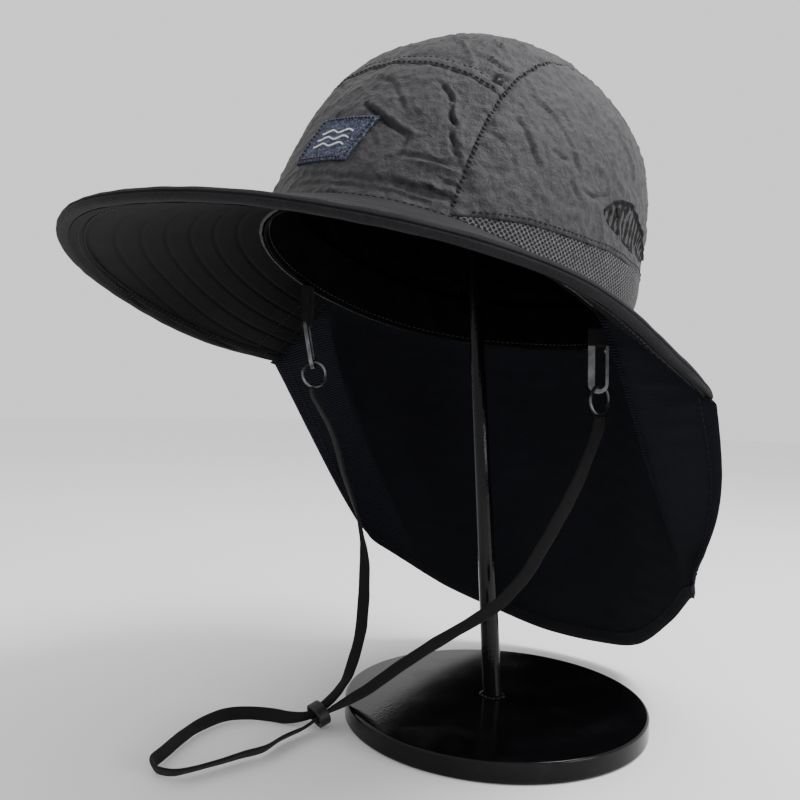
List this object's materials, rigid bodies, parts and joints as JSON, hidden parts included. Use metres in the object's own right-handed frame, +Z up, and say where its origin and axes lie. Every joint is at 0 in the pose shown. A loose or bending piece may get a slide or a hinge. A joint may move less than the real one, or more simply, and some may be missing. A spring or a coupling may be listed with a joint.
{
  "type": "fishing hat with neck flap on a display stand",
  "caption": "Charcoal fishing hat with a wide quilted bill, mesh side vents, a long neck flap and a chin strap, held up on a black rod with a round plate.",
  "frame": {"origin": "centre of the underside of the stand's round plate", "axes": "+Z up; the hat faces -Y, and its wearer's left is +X"},
  "size_m": [0.2738, 0.3264, 0.3363],
  "materials": {
    "nylon": "crinkled woven nylon, charcoal, faint sheen",
    "vent_mesh": "open knitted mesh, dark grey",
    "brim_cloth": "plain woven cloth, stitched in rows",
    "flap_mesh": "fine ribbed mesh, black",
    "band_cloth": "soft terry band, black",
    "woven_label": "woven patch, navy with white threads",
    "webbing": "soft woven tape, black",
    "black_metal": "black nickel, satin",
    "rubber": "matt black",
    "black_paint": "gloss black powder coat, slight orange peel"
  },
  "bodies": {
    "root": {"front_panel": "nylon", "top_panel": "nylon", "side_panel_left": "nylon", "side_panel_right": "nylon", "vent_left": "vent_mesh", "vent_right": "vent_mesh", "brim": "brim_cloth", "brim_binding": "brim_cloth", "neck_flap": "flap_mesh", "sweatband": "band_cloth", "label_patch": "woven_label", "clip_tab_left": "webbing", "clip_tab_right": "webbing", "strap_clip_left": "black_metal", "strap_clip_right": "black_metal", "strap_ring_left": "black_metal", "strap_ring_right": "black_metal", "chin_strap": "webbing", "strap_slide": "rubber", "stand_base": "black_paint", "stand_post": "black_paint"}
  },
  "joints": []
}
